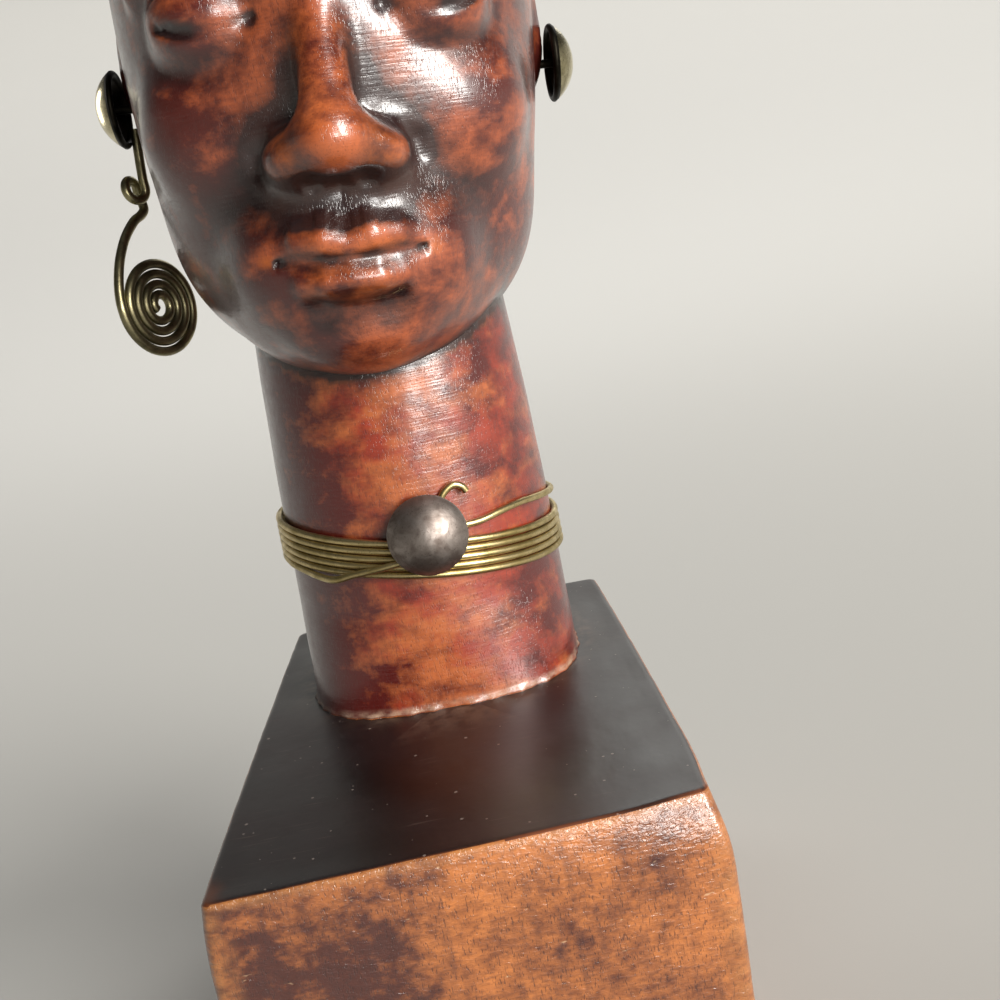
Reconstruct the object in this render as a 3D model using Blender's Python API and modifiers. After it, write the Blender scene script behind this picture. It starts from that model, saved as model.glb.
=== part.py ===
"""A carved wooden bust: head, neck and block in one piece, with a wire collar, nails and one earring."""
import math

import bmesh
import bpy
import numpy as np
from mathutils import Matrix, Vector

# Driving dimensions in metres. The face looks along -Y and the bust stands on z = 0.
BLOCK_HEIGHT = 0.050
BLOCK_DEPTH = 0.083
BLOCK_TOP_WIDTH = 0.0567
BLOCK_FOOT_SPLAY = 0.0010
BLOCK_BACK_NARROWING = 0.0009
BLOCK_FRONT_SKEW = 0.0016
BLOCK_FRONT_SWELL = 0.0014
BLOCK_FRONT_SHOULDER = 0.006
BLOCK_BULGE = 0.0003
BLOCK_CORNER_RADIUS = 0.0012
BLOCK_EDGE = 0.0005
BLOCK_SHOULDER = 0.010

NECK_X = -0.0005
NECK_TO_BLOCK_BACK = 0.025
NECK_LENGTH = 0.0475
NECK_FOOT_RADIUS = 0.0205
NECK_TOP_RADIUS = 0.0190
NECK_FOOT_SQUARENESS = 2.9
NECK_ROOT = 0.006

HEAD_HEIGHT = 0.087
HEAD_TILT = math.radians(3.4)
HEAD_YAW = math.radians(1.0)

WIRE_DIAMETER = 0.0010
WIRE_PITCH = 0.00112
WIRE_TURNS = 6
COLLAR_SLOPE = 0.15
WIRE_POINTS_PER_TURN = 24

TACK_DIAMETER = 0.011
TACK_DOME = 0.0029
TACK_WALL = 0.0007
TACK_SHANK_RADIUS = 0.0006
TACK_X = 0.0017
TACK_ABOVE_BLOCK = 0.0254
TACK_BESIDE_WIRE = 0.0007
TACK_LEAN = math.radians(6.0)

STUD_DIAMETER = 0.0106
STUD_DOME = 0.0030
STUD_STANDOFF = 0.0016

EARRING_WIRE = 0.00140
EARRING_PITCH = 0.00150
EARRING_RADIUS = 0.0068
EARRING_EYE = 0.00095
EARRING_LOOP = 0.00145
EARRING_LOOP_DROP = 0.0108
EARRING_DROP = 0.0273
EARRING_STEM_TOP = 0.0025
EARRING_STEM_BACK = 0.0020
EARRING_HANG = 0.00265
EARRING_SWAY = 0.0006
EARRING_TURN = math.radians(58.0)
EARRING_POINTS_PER_TURN = 16

GAP = 0.0003

# Places that follow from the driving dimensions.
BLOCK_TOP = BLOCK_HEIGHT
NECK_Y = BLOCK_DEPTH / 2 - NECK_TO_BLOCK_BACK
CHIN_Z = BLOCK_TOP + NECK_LENGTH
EAR_SHARE = Vector((0.0, 0.03, 0.4484))
HEAD_MIDDLE = np.array([0.0, -0.02, 0.42])
HEAD_MERIDIANS = 150
HEAD_LEVELS = 100
HEAD_FACES_KEPT = 0.137
FACE_CROWDING = 0.4
FACE_DROP = 0.2


def new_material(name, colour, roughness, metallic):
    """A plain surface in one colour."""
    material = bpy.data.materials.new(name)
    material.use_nodes = True
    shader = material.node_tree.nodes["Principled BSDF"]
    shader.inputs["Base Color"].default_value = (*colour, 1.0)
    shader.inputs["Roughness"].default_value = roughness
    shader.inputs["Metallic"].default_value = metallic
    return material


def new_object(name, mesh, collection, material=None):
    """An object for a mesh, in its collection."""
    thing = bpy.data.objects.new(name, mesh)
    collection.objects.link(thing)
    if material:
        mesh.materials.append(material)
    return thing


# Carving of the head. Places and sizes are shares of the head's height, from the chin (0) to the crown (1).
# x runs to the viewer's right, y to the back and z up. Each shape gives its signed distance.

def blend(a, b, width):
    """Two forms that run into each other."""
    share = np.clip(0.5 + 0.5 * (b - a) / width, 0.0, 1.0)
    return b * (1 - share) + a * share - width * share * (1 - share)


def cut(a, b, width):
    """A form with another cut out of it, the edge eased over the width."""
    return -blend(-a, b, width)


def ellipsoid(p, centre, radii):
    """Ellipsoid around a centre."""
    radii = np.array(radii)
    q = (p - np.array(centre)) / radii
    near = np.linalg.norm(q, axis=1)
    slope = np.linalg.norm(q / radii, axis=1)
    return near * (near - 1) / np.maximum(slope, 1e-9)


def rod(p, start, end, start_radius, end_radius):
    """Round bar that tapers from one end to the other."""
    along = end - start
    t = np.clip((p - start) @ along / (along @ along), 0.0, 1.0)
    reach = np.linalg.norm(p - start - t[:, None] * along, axis=1)
    return reach - (start_radius + t * (end_radius - start_radius))


def ridge(p, start, middle, end, radii):
    """Bent bar through three points, with a radius for each of its joints."""
    start, middle, end = np.array(start), np.array(middle), np.array(end)
    pull = 2 * middle - (start + end) / 2
    count = len(radii) - 1
    steps = [i / count for i in range(count + 1)]
    points = [(1 - t) ** 2 * start + 2 * t * (1 - t) * pull + t * t * end for t in steps]
    rods = [rod(p, points[i], points[i + 1], radii[i], radii[i + 1]) for i in range(count)]
    return np.min(rods, axis=0)


def mirrored(p):
    """Both halves folded onto the viewer's right."""
    return np.column_stack((np.abs(p[:, 0]), p[:, 1], p[:, 2]))


def skull(p):
    """Cranium, face, nape and chin, one egg with a full lower end."""
    form = ellipsoid(p, (0, 0.03, 0.60), (0.328, 0.405, 0.40))
    form = blend(form, ellipsoid(p, (0, -0.045, 0.33), (0.292, 0.29, 0.31)), 0.12)
    form = blend(form, ellipsoid(p, (0, 0.02, 0.21), (0.274, 0.266, 0.205)), 0.08)
    form = blend(form, ellipsoid(p, (0, -0.175, 0.125), (0.170, 0.145, 0.122)), 0.09)
    return blend(form, ellipsoid(p, (0, -0.268, 0.075), (0.078, 0.058, 0.055)), 0.06)


def carve_eyes(p, form):
    """Cheeks, brows and lowered lids in their hollows."""
    half = mirrored(p)
    form = blend(form, ellipsoid(half, (0.165, -0.215, 0.365), (0.095, 0.085, 0.085)), 0.07)
    brow = ridge(half, (0.025, -0.345, 0.555), (0.13, -0.345, 0.592), (0.245, -0.235, 0.560),
                 (0.024, 0.026, 0.026, 0.022, 0.014))
    form = blend(form, brow, 0.035)
    form = cut(form, ellipsoid(half, (0.140, -0.415, 0.495), (0.088, 0.075, 0.052)), 0.030)
    return blend(form, ellipsoid(half, (0.142, -0.262, 0.497), (0.090, 0.094, 0.080)), 0.014)


def carve_nose(p, form):
    """Bridge, tip, wings and nostrils."""
    half = mirrored(p)
    bridge = ridge(p, (0, -0.325, 0.560), (0, -0.352, 0.48), (0, -0.398, 0.335), (0.026, 0.026, 0.040))
    form = blend(form, bridge, 0.030)
    form = blend(form, ellipsoid(p, (0, -0.402, 0.316), (0.052, 0.058, 0.046)), 0.024)
    form = blend(form, ellipsoid(half, (0.066, -0.358, 0.304), (0.037, 0.052, 0.036)), 0.018)
    return cut(form, ellipsoid(half, (0.038, -0.386, 0.262), (0.019, 0.030, 0.014)), 0.010)


def carve_mouth(p, form):
    """Full closed lips on a low mound, with the hollow under them."""
    half = mirrored(p)
    form = blend(form, ellipsoid(p, (0, -0.268, 0.175), (0.155, 0.100, 0.105)), 0.07)
    upper = ridge(half, (0.0, -0.362, 0.190), (0.060, -0.350, 0.198), (0.120, -0.292, 0.180),
                  (0.027, 0.030, 0.026, 0.018, 0.008))
    lower = ridge(half, (0.0, -0.356, 0.139), (0.058, -0.342, 0.145), (0.118, -0.290, 0.172),
                  (0.035, 0.034, 0.029, 0.018, 0.007))
    parting = ridge(half, (0.0, -0.396, 0.1655), (0.062, -0.382, 0.171), (0.120, -0.318, 0.175),
                    (0.009, 0.009, 0.007, 0.003))
    form = cut(blend(blend(form, upper, 0.008), lower, 0.008), parting, 0.008)
    hollow = ridge(half, (0.0, -0.385, 0.090), (0.025, -0.378, 0.091), (0.05, -0.365, 0.093),
                   (0.022, 0.019, 0.016))
    return cut(form, hollow, 0.04)


def carve_ears(p, form):
    """Ears in low relief, lying back against the head."""
    half = mirrored(p)
    form = blend(form, ellipsoid(half, (0.306, 0.045, 0.515), (0.040, 0.068, 0.115)), 0.012)
    return cut(form, ellipsoid(half, (0.350, 0.036, 0.540), (0.024, 0.034, 0.062)), 0.012)


def ease(value):
    """Rises from 0 to 1, level at both ends."""
    share = np.clip(value, 0.0, 1.0)
    return share * share * (3 - 2 * share)


def carve_hair(p, form):
    """Close-cropped hair, a thin cap that ends at the forehead, the temples and the nape."""
    half = mirrored(p)
    cap = ellipsoid(p, (0, 0.03, 0.60), (0.342, 0.420, 0.415))
    forehead = 0.845 - 0.30 * np.clip(half[:, 0] - 0.10, 0, None)
    temple, nape = 0.66, 0.28
    to_temple = ease((half[:, 1] + 0.22) / 0.10)
    to_nape = ease((half[:, 1] - 0.10) / 0.08)
    line = forehead + (temple - forehead) * to_temple
    line = line + (nape - line) * to_nape
    return blend(form, np.maximum(cap, (line - p[:, 2]) * 0.9), 0.008)


def head_form(p):
    """The whole carved head."""
    form = carve_mouth(p, carve_nose(p, carve_eyes(p, skull(p))))
    return carve_hair(p, carve_ears(p, form))


def surface_along(starts, directions, reach):
    """Outermost point of the head along each ray, found from outside inwards and then by halving."""
    steps = np.linspace(reach, 0.0, 30)
    outer = np.full(len(starts), reach)
    inner = np.zeros(len(starts))
    found = np.zeros(len(starts), bool)
    for last, step in zip(steps[:-1], steps[1:]):
        inside = head_form(starts + directions * step) < 0
        first = inside & ~found
        outer[first] = last
        inner[first] = step
        found |= inside
    for _ in range(12):
        middle = (outer + inner) / 2
        inside = head_form(starts + directions * middle[:, None]) < 0
        inner = np.where(inside, middle, inner)
        outer = np.where(inside, outer, middle)
    return starts + directions * ((outer + inner) / 2)[:, None]


def head_matrix():
    """Head shares to world metres, tilted and turned about the middle of the ears."""
    pivot = EAR_SHARE * HEAD_HEIGHT
    place = Vector((0.0, NECK_Y, CHIN_Z))
    turn = Matrix.Rotation(HEAD_YAW, 4, "Z") @ Matrix.Rotation(HEAD_TILT, 4, "Y")
    return (Matrix.Translation(place + pivot) @ turn @ Matrix.Translation(-pivot)
            @ Matrix.Scale(HEAD_HEIGHT, 4))


def make_head(collection):
    """A sphere whose points crowd to the face and are moved out to the carved surface."""
    bm = bmesh.new()
    bmesh.ops.create_uvsphere(bm, u_segments=HEAD_MERIDIANS, v_segments=HEAD_LEVELS, radius=1.0)
    directions = []
    for vert in bm.verts:
        around = math.atan2(vert.co.x, -vert.co.y)
        around = around - FACE_CROWDING * math.sin(around)
        height = math.asin(max(-1.0, min(1.0, vert.co.z)))
        height = height - 0.4 * FACE_CROWDING * math.sin(2 * height) - FACE_DROP * math.cos(height)
        directions.append((math.sin(around) * math.cos(height), -math.cos(around) * math.cos(height),
                           math.sin(height)))
    directions = np.array(directions)
    starts = np.tile(HEAD_MIDDLE, (len(directions), 1))
    for vert, point in zip(bm.verts, surface_along(starts, directions, 0.75)):
        vert.co = Vector(point)
    bmesh.ops.transform(bm, matrix=head_matrix(), verts=bm.verts)
    mesh = bpy.data.meshes.new("head")
    bm.to_mesh(mesh)
    bm.free()
    head = new_object("head", mesh, collection)
    thin = head.modifiers.new("thin", "DECIMATE")
    thin.ratio = HEAD_FACES_KEPT
    return head


def loft(name, sections, collection):
    """A closed solid through sections of equal point count, given from the bottom up."""
    bm = bmesh.new()
    rings = [[bm.verts.new(point) for point in section] for section in sections]
    count = len(rings[0])
    for low, high in zip(rings[:-1], rings[1:]):
        for i in range(count):
            j = (i + 1) % count
            bm.faces.new((low[i], low[j], high[j], high[i]))
    bm.faces.new(rings[-1])
    bm.faces.new(list(reversed(rings[0])))
    mesh = bpy.data.meshes.new(name)
    bm.to_mesh(mesh)
    bm.free()
    return new_object(name, mesh, collection)


def block_section(z, inset):
    """Rounded rectangle with slightly full sides, narrower at the back, its front askew and fuller below."""
    down = min(1.0, (BLOCK_TOP - z) / BLOCK_SHOULDER)
    front_down = min(1.0, (BLOCK_TOP - z) / BLOCK_FRONT_SHOULDER)
    swell = BLOCK_FRONT_SWELL * math.sin(front_down * math.pi / 2)
    half_x = BLOCK_TOP_WIDTH / 2 + BLOCK_FOOT_SPLAY * math.sin(down * math.pi / 2) - BLOCK_BULGE - inset
    half_y = BLOCK_DEPTH / 2 - BLOCK_BULGE - inset
    radius = BLOCK_CORNER_RADIUS
    points = []
    for corner in range(4):
        start = corner * math.pi / 2
        side_x = 1 if corner in (0, 3) else -1
        side_y = 1 if corner in (0, 1) else -1
        for step in range(4):
            angle = start + step * math.pi / 6
            points.append((side_x * (half_x - radius) + radius * math.cos(angle),
                           side_y * (half_y - radius) + radius * math.sin(angle)))
        mid = (corner + 1) * math.pi / 2
        for share in (-0.5, 0.0, 0.5):
            if corner % 2 == 0:
                points.append((-share * side_x * 1.6 * half_x, half_y * round(math.sin(mid))))
            else:
                points.append((half_x * round(math.cos(mid)), share * side_x * 1.6 * half_y))
    full = []
    for x, y in points:
        to_right, to_back = x / half_x, y / half_y
        swell_x = math.copysign(BLOCK_BULGE * (1 - to_back ** 2), x) * (abs(x) > half_x - radius)
        swell_y = math.copysign(BLOCK_BULGE * (1 - to_right ** 2), y) * (abs(y) > half_y - radius)
        narrower = BLOCK_BACK_NARROWING * to_right * (1 + to_back) / 2
        askew = (BLOCK_FRONT_SKEW * to_right - swell * (1 + to_right) / 2) * (1 - to_back) / 2
        full.append(Vector((x + swell_x - narrower, y + swell_y + askew, z)))
    return full


def make_block(collection):
    """The block below the neck, its top and bottom edges barely eased."""
    levels = ((0.0, BLOCK_EDGE), (BLOCK_EDGE, 0.0), (BLOCK_TOP - BLOCK_SHOULDER, 0.0),
              (BLOCK_TOP - BLOCK_SHOULDER * 0.6, 0.0), (BLOCK_TOP - BLOCK_SHOULDER * 0.25, 0.0),
              (BLOCK_TOP - BLOCK_EDGE, 0.0), (BLOCK_TOP, BLOCK_EDGE))
    return loft("block", [block_section(z, inset) for z, inset in levels], collection)


def neck_radius(z):
    """Neck radius at a height above the block, narrowing towards the head."""
    share = min(1.2, max(0.0, z / NECK_LENGTH))
    return NECK_FOOT_RADIUS + (NECK_TOP_RADIUS - NECK_FOOT_RADIUS) * share ** 2


def make_neck(collection):
    """Neck, squarish where it stands on the block and round above."""
    sections = []
    for z in (-NECK_ROOT, 0.0, NECK_LENGTH * 0.07, NECK_LENGTH * 0.16, NECK_LENGTH * 0.3,
              NECK_LENGTH * 0.55, NECK_LENGTH * 0.8, NECK_LENGTH, NECK_LENGTH * 1.18):
        square = max(0.0, 1.0 - max(z, 0.0) / (NECK_LENGTH * 0.3))
        power = 2.0 + (NECK_FOOT_SQUARENESS - 2.0) * square
        radius = neck_radius(z)
        ring = []
        for step in range(40):
            angle = step * math.tau / 40
            c, s = math.cos(angle), math.sin(angle)
            reach = radius / (abs(c) ** power + abs(s) ** power) ** (1 / power)
            ring.append(Vector((NECK_X + reach * c, NECK_Y + reach * s, BLOCK_TOP + z)))
        sections.append(ring)
    return loft("neck", sections, collection)


def make_bust(parts, tools, material):
    """Block, neck and head joined into the one carved solid."""
    bust = make_block(parts)
    bust.name = "bust"
    bust.data.materials.append(material)
    for piece in (make_neck(tools), make_head(tools)):
        piece.hide_render = True
        piece.display_type = "WIRE"
        join = bust.modifiers.new(piece.name, "BOOLEAN")
        join.operation = "UNION"
        join.solver = "EXACT"
        join.object = piece
    return bust


def dome_profile(diameter, dome, wall, shank_radius, shank_length):
    """Half outline of a domed nail from the crown to the shank's tip, the rim on z = 0."""
    rim = diameter / 2
    sphere = (rim ** 2 + dome ** 2) / (2 * dome)
    rim_angle = math.asin(rim / sphere)
    centre_z = dome - sphere
    outer = []
    for step in range(6):
        angle = rim_angle * step / 5
        outer.append((sphere * math.sin(angle), centre_z + sphere * math.cos(angle)))
    inner_sphere = sphere - wall
    inner = []
    for step in range(3):
        angle = math.acos(-centre_z / inner_sphere) * (1 - step / 3)
        inner.append((inner_sphere * math.sin(angle), centre_z + inner_sphere * math.cos(angle)))
    top = centre_z + math.sqrt(inner_sphere ** 2 - shank_radius ** 2)
    return outer + inner + [(shank_radius, top), (shank_radius, -shank_length), (0.0, -shank_length)]


def make_nail(name, profile, matrix, collection, material):
    """A profile turned once round its own axis."""
    mesh = bpy.data.meshes.new(name)
    mesh.from_pydata([(x, 0.0, z) for x, z in profile], [(i, i + 1) for i in range(len(profile) - 1)], [])
    nail = new_object(name, mesh, collection, material)
    screw = nail.modifiers.new("turn", "SCREW")
    screw.axis = "Z"
    screw.steps = 18
    screw.render_steps = 18
    screw.use_merge_vertices = True
    screw.merge_threshold = 0.00001
    screw.use_smooth_shade = True
    nail.matrix_world = matrix
    return nail


def aim(point, outward):
    """Places a nail's rim at a point with its dome facing outward."""
    return Matrix.Translation(point) @ Vector(outward).to_track_quat("Z", "Y").to_matrix().to_4x4()


def collar_radius():
    """Middle of the collar's wire, from the neck's axis, clear of the neck between the wire's own points."""
    sag = 1 - math.cos(math.pi / WIRE_POINTS_PER_TURN)
    clear = neck_radius(TACK_ABOVE_BLOCK) + WIRE_DIAMETER / 2 + GAP
    return clear / (1 - sag)


def collar_point(turn, drop, lift=0.0):
    """A point on the wire after so many turns, counted from the front to the viewer's right."""
    angle = turn * math.tau
    radius = collar_radius() + lift
    x = radius * math.sin(angle)
    y = -radius * math.cos(angle)
    z = TACK_ABOVE_BLOCK + COLLAR_SLOPE * (TACK_X - x) - drop
    return Vector((NECK_X + x, NECK_Y + y, BLOCK_TOP + z))


def collar_path():
    """The wire's middle line: a hooked tail, a loose first turn, then turns side by side."""
    mm = 0.001
    reach = collar_radius()
    tail = ((7.9, -5.3), (7.4, -6.0), (6.4, -6.3), (5.4, -5.8), (4.5, -4.8), (3.7, -3.1), (3.5, -1.5),
            (4.3, -0.6))
    points = [collar_point(x * mm / reach / math.tau, drop * mm) for x, drop in tail]
    top_drop = TACK_SHANK_RADIUS + WIRE_DIAMETER / 2 + GAP + 0.1 * mm
    count = WIRE_POINTS_PER_TURN
    for step in range(1, WIRE_TURNS * count - 3):
        turn = step / count
        packed = top_drop + WIRE_PITCH * (turn - 1)
        loose = 0.3 * mm - 2.6 * mm * ease((turn - 0.01) / 0.13)
        points.append(collar_point(turn, loose + (packed - loose) * ease((turn - 0.12) / 0.33)))
    packed = top_drop + WIRE_PITCH * (WIRE_TURNS - 1.15)
    for share in (0.0, 0.35, 0.7, 1.0):
        turn = WIRE_TURNS - 0.10 + 0.09 * share
        points.append(collar_point(turn, packed - 3.4 * mm * share, WIRE_DIAMETER + 0.1 * mm))
    return points


def make_wire(name, points, diameter, collection, material):
    """A round wire through its points, capped at both ends."""
    curve = bpy.data.curves.new(name, "CURVE")
    curve.dimensions = "3D"
    curve.bevel_depth = diameter / 2
    curve.bevel_resolution = 2
    curve.use_fill_caps = True
    spline = curve.splines.new("POLY")
    spline.points.add(len(points) - 1)
    for target, point in zip(spline.points, points):
        target.co = (*point, 1.0)
    return new_object(name, curve, collection, material)


def stud_place(side):
    """Rim centre and outward direction of a stud, from the carved surface of the ear."""
    start = np.array([[0.0, EAR_SHARE.y, EAR_SHARE.z]])
    skin = surface_along(start, np.array([[float(side), 0.0, 0.0]]), 0.5)[0]
    matrix = head_matrix()
    outward = (matrix.to_3x3() @ Vector((side, 0.0, 0.0))).normalized()
    return matrix @ Vector(skin) + outward * STUD_STANDOFF, outward


def earring_path():
    """Stem under the stud, a small loop, a bow to the front and the flat coil, in one upright plane."""
    mm = 0.001
    rim, outward = stud_place(-1)
    across = Vector((math.cos(EARRING_TURN), math.sin(EARRING_TURN), 0.0))
    away = Vector((-math.sin(EARRING_TURN), math.cos(EARRING_TURN), 0.0))
    up = Vector((0.0, 0.0, 1.0))
    stem = rim + Vector((EARRING_WIRE / 2 + GAP + 0.1 * mm, EARRING_STEM_BACK, 0.0))
    sway = Vector((EARRING_SWAY, 0.0, 0.0))
    loop = stem - sway - across * EARRING_LOOP - up * EARRING_LOOP_DROP
    eye = stem - sway - across * EARRING_HANG - up * EARRING_DROP
    points = [stem - up * EARRING_STEM_TOP, loop + across * EARRING_LOOP + up * 2.0 * mm]
    loop_step = EARRING_WIRE + GAP
    for step in range(11):
        angle = -step * math.tau / 10
        points.append(loop + EARRING_LOOP * (across * math.cos(angle) + up * math.sin(angle))
                      + away * loop_step * step / 10)
    bow = ((3.0, 14.9), (2.9, 13.8), (1.9, 13.0), (0.2, 12.2), (-2.4, 10.0), (-4.5, 7.3), (-5.9, 4.7),
           (-6.8, 2.2))
    for s, rise in bow:
        points.append(eye + across * s * mm + up * rise * mm + away * loop_step * rise / bow[0][1])
    count = EARRING_POINTS_PER_TURN
    turns = (EARRING_RADIUS - EARRING_EYE) / EARRING_PITCH
    for step in range(-count // 4, int(turns * count) + 1):
        angle = -math.pi / 2 + step * math.tau / count
        radius = EARRING_RADIUS - EARRING_PITCH * step / count
        points.append(eye + radius * (across * math.cos(angle) + up * math.sin(angle)))
    return points


def main():
    """Builds the bust and its metal trim."""
    for old in list(bpy.data.objects):
        bpy.data.objects.remove(old, do_unlink=True)
    parts = bpy.data.collections.new("wooden_bust")
    tools = bpy.data.collections.new("joining_shapes")
    bpy.context.scene.collection.children.link(parts)
    bpy.context.scene.collection.children.link(tools)

    wood = new_material("varnished_wood", (0.30, 0.075, 0.025), 0.3, 0.0)
    brass = new_material("old_brass_wire", (0.42, 0.34, 0.12), 0.35, 1.0)
    steel = new_material("dark_nail", (0.12, 0.10, 0.09), 0.45, 1.0)
    stud_brass = new_material("dulled_brass", (0.30, 0.25, 0.12), 0.3, 1.0)

    make_bust(parts, tools, wood)
    make_wire("collar_wire", collar_path(), WIRE_DIAMETER, parts, brass)

    rim_reach = collar_radius() + WIRE_DIAMETER / 2 + TACK_BESIDE_WIRE
    shank_length = rim_reach - neck_radius(TACK_ABOVE_BLOCK) - GAP
    profile = dome_profile(TACK_DIAMETER, TACK_DOME, TACK_WALL, TACK_SHANK_RADIUS, shank_length)
    place = Vector((NECK_X + TACK_X, NECK_Y - rim_reach, BLOCK_TOP + TACK_ABOVE_BLOCK))
    outward = (0.0, -math.cos(TACK_LEAN), math.sin(TACK_LEAN))
    make_nail("collar_tack", profile, aim(place, outward), parts, steel)

    profile = dome_profile(STUD_DIAMETER, STUD_DOME, TACK_WALL, TACK_SHANK_RADIUS, STUD_STANDOFF - GAP)
    for name, side in (("ear_stud_left", -1), ("ear_stud_right", 1)):
        point, outward = stud_place(side)
        make_nail(name, profile, aim(point, outward), parts, stud_brass)
    make_wire("spiral_earring", earring_path(), EARRING_WIRE, parts, brass)


main()
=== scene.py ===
import math

import bmesh
import bpy
import numpy as np
from mathutils import Matrix, Vector, noise


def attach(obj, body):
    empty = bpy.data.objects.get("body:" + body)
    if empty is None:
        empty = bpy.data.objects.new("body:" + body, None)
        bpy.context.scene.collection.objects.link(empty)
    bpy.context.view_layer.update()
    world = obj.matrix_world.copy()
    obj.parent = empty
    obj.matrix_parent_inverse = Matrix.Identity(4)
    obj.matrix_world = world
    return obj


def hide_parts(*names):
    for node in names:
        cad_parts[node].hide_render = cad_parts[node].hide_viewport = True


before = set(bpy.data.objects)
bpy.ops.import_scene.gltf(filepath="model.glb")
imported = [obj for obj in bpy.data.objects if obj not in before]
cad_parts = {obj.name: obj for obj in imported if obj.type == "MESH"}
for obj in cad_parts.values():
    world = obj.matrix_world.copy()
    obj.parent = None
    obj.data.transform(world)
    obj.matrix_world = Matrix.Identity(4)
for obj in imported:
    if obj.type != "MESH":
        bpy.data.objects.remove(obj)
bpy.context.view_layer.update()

scene = bpy.context.scene
mm = 0.001
photoSide = 1000


# Colours and nodes

def hexColour(code):
    # sRGB hex to the linear values that shaders take
    parts = [int(code[i:i + 2], 16) / 255 for i in (1, 3, 5)]
    linear = [c / 12.92 if c <= 0.04045 else ((c + 0.055) / 1.055) ** 2.4 for c in parts]
    return (*linear, 1.0)


def addNode(tree, kind, inputs=None, **settings):
    # inputs takes values, or sockets to link from
    node = tree.nodes.new(kind)
    for name, value in settings.items():
        setattr(node, name, value)
    for name, value in (inputs or {}).items():
        if isinstance(value, bpy.types.NodeSocket):
            tree.links.new(value, node.inputs[name])
        else:
            node.inputs[name].default_value = value
    return node


def newObject(name, data):
    thing = bpy.data.objects.new(name, data)
    scene.collection.objects.link(thing)
    return thing


def newMaterial(name):
    material = bpy.data.materials.new(name)
    material.use_nodes = True
    tree = material.node_tree
    return material, tree, tree.nodes["Principled BSDF"]


def patternNoise(tree, sizes, detail=3.0, roughness=0.55, shift=(0, 0, 0), distortion=0.0):
    # noise whose features measure the given millimetres along x, y and z
    place = addNode(tree, "ShaderNodeTexCoord")
    scaled = addNode(tree, "ShaderNodeMapping", {"Vector": place.outputs["Object"], "Location": shift,
                                                 "Scale": [1000 / size for size in sizes]})
    return addNode(tree, "ShaderNodeTexNoise", {"Vector": scaled.outputs[0], "Scale": 1.0, "Detail": detail,
                                                "Roughness": roughness, "Distortion": distortion}).outputs[0]


def mixColour(tree, share, first, second):
    return addNode(tree, "ShaderNodeMix", {0: share, 6: first, 7: second}, data_type="RGBA").outputs[2]


def mapped(tree, value, low, high, toLow=0.0, toHigh=1.0):
    return addNode(tree, "ShaderNodeMapRange", {0: value, 1: low, 2: high, 3: toLow, 4: toHigh}).outputs[0]


def combined(tree, how, first, second):
    return addNode(tree, "ShaderNodeMath", {0: first, 1: second}, operation=how).outputs[0]


def plus(tree, first, second):
    return combined(tree, "ADD", first, second)


def times(tree, first, second):
    return combined(tree, "MULTIPLY", first, second)


def ramp(tree, axis, start, end, atStart, atEnd):
    # a value that changes along x, y or z between two places in millimetres
    place = addNode(tree, "ShaderNodeTexCoord")
    along = addNode(tree, "ShaderNodeSeparateXYZ", {0: place.outputs["Object"]}).outputs["xyz".index(axis)]
    return mapped(tree, along, start * mm, end * mm, atStart, atEnd)


def channels(tree, name):
    # the three values that the mesh stores under this name
    stored = addNode(tree, "ShaderNodeAttribute", attribute_name=name)
    return addNode(tree, "ShaderNodeSeparateColor", {0: stored.outputs["Color"]}).outputs


def ground(tree, look, pattern, low, high):
    share = mapped(tree, pattern, low, high)
    return mixColour(tree, share, hexColour(look["dark"]), hexColour(look["light"]))


def stained(tree, colour, look, layers):
    # lays colours of the look over one another, each by its share
    for name, share in layers:
        colour = mixColour(tree, share, colour, hexColour(look[name]))
    return colour


def bumped(tree, height, strength, depth, under=None):
    # depth in millimetres; under is the normal that this relief lies on
    inputs = {"Strength": strength, "Distance": depth * mm, "Height": height}
    if under is not None:
        inputs["Normal"] = under
    return addNode(tree, "ShaderNodeBump", inputs).outputs[0]


def finished(tree, shader, look, colour, dullness, normal):
    # rough holds the roughness where the dullness pattern is low and where it is high
    rough = mapped(tree, dullness, 0.3, 0.7, *look["rough"])
    for name, value in (("Base Color", colour), ("Roughness", rough), ("Normal", normal)):
        tree.links.new(value, shader.inputs[name])
    if "coat" in look:
        tree.links.new(normal, shader.inputs["Coat Normal"])
        for name, key in (("Coat Weight", "coat"), ("Coat Roughness", "coatRough"), ("Coat IOR", "coatIor")):
            shader.inputs[name].default_value = look[key]


# Wood: a reddish hardwood, rubbed with dark stain that stays in the hollows, under brushed varnish; the
# hollows also carry painted shade

carvedWoodLook = {
    "neckLight": "#ad5b2d", "neckDark": "#4e0d07", "neckRed": "#8f2d14", "faceLight": "#a6522c",
    "faceDark": "#4f1810", "hollow": "#1a0809", "worn": "#c9681c", "hair": "#1e0d0c",
    "grainDark": "#43120b", "foot": "#b3957d",
    "blotchSize": (5.5, 5.5, 4), "cloudSize": (17, 17, 12), "redSize": (8, 8, 6), "streakSize": (0.5, 0.5, 5),
    "brushSize": (5, 5, 0.3), "poreSize": (0.15, 0.15, 0.7), "crustSize": (2.2, 2.2, 0.9),
    "knifeSize": (2.6, 2.6, 2.2), "stainEdge": (0.40, 0.57),
    "rough": (0.32, 0.52), "coat": 0.8, "coatRough": 0.19, "coatIor": 1.65,
}


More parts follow.
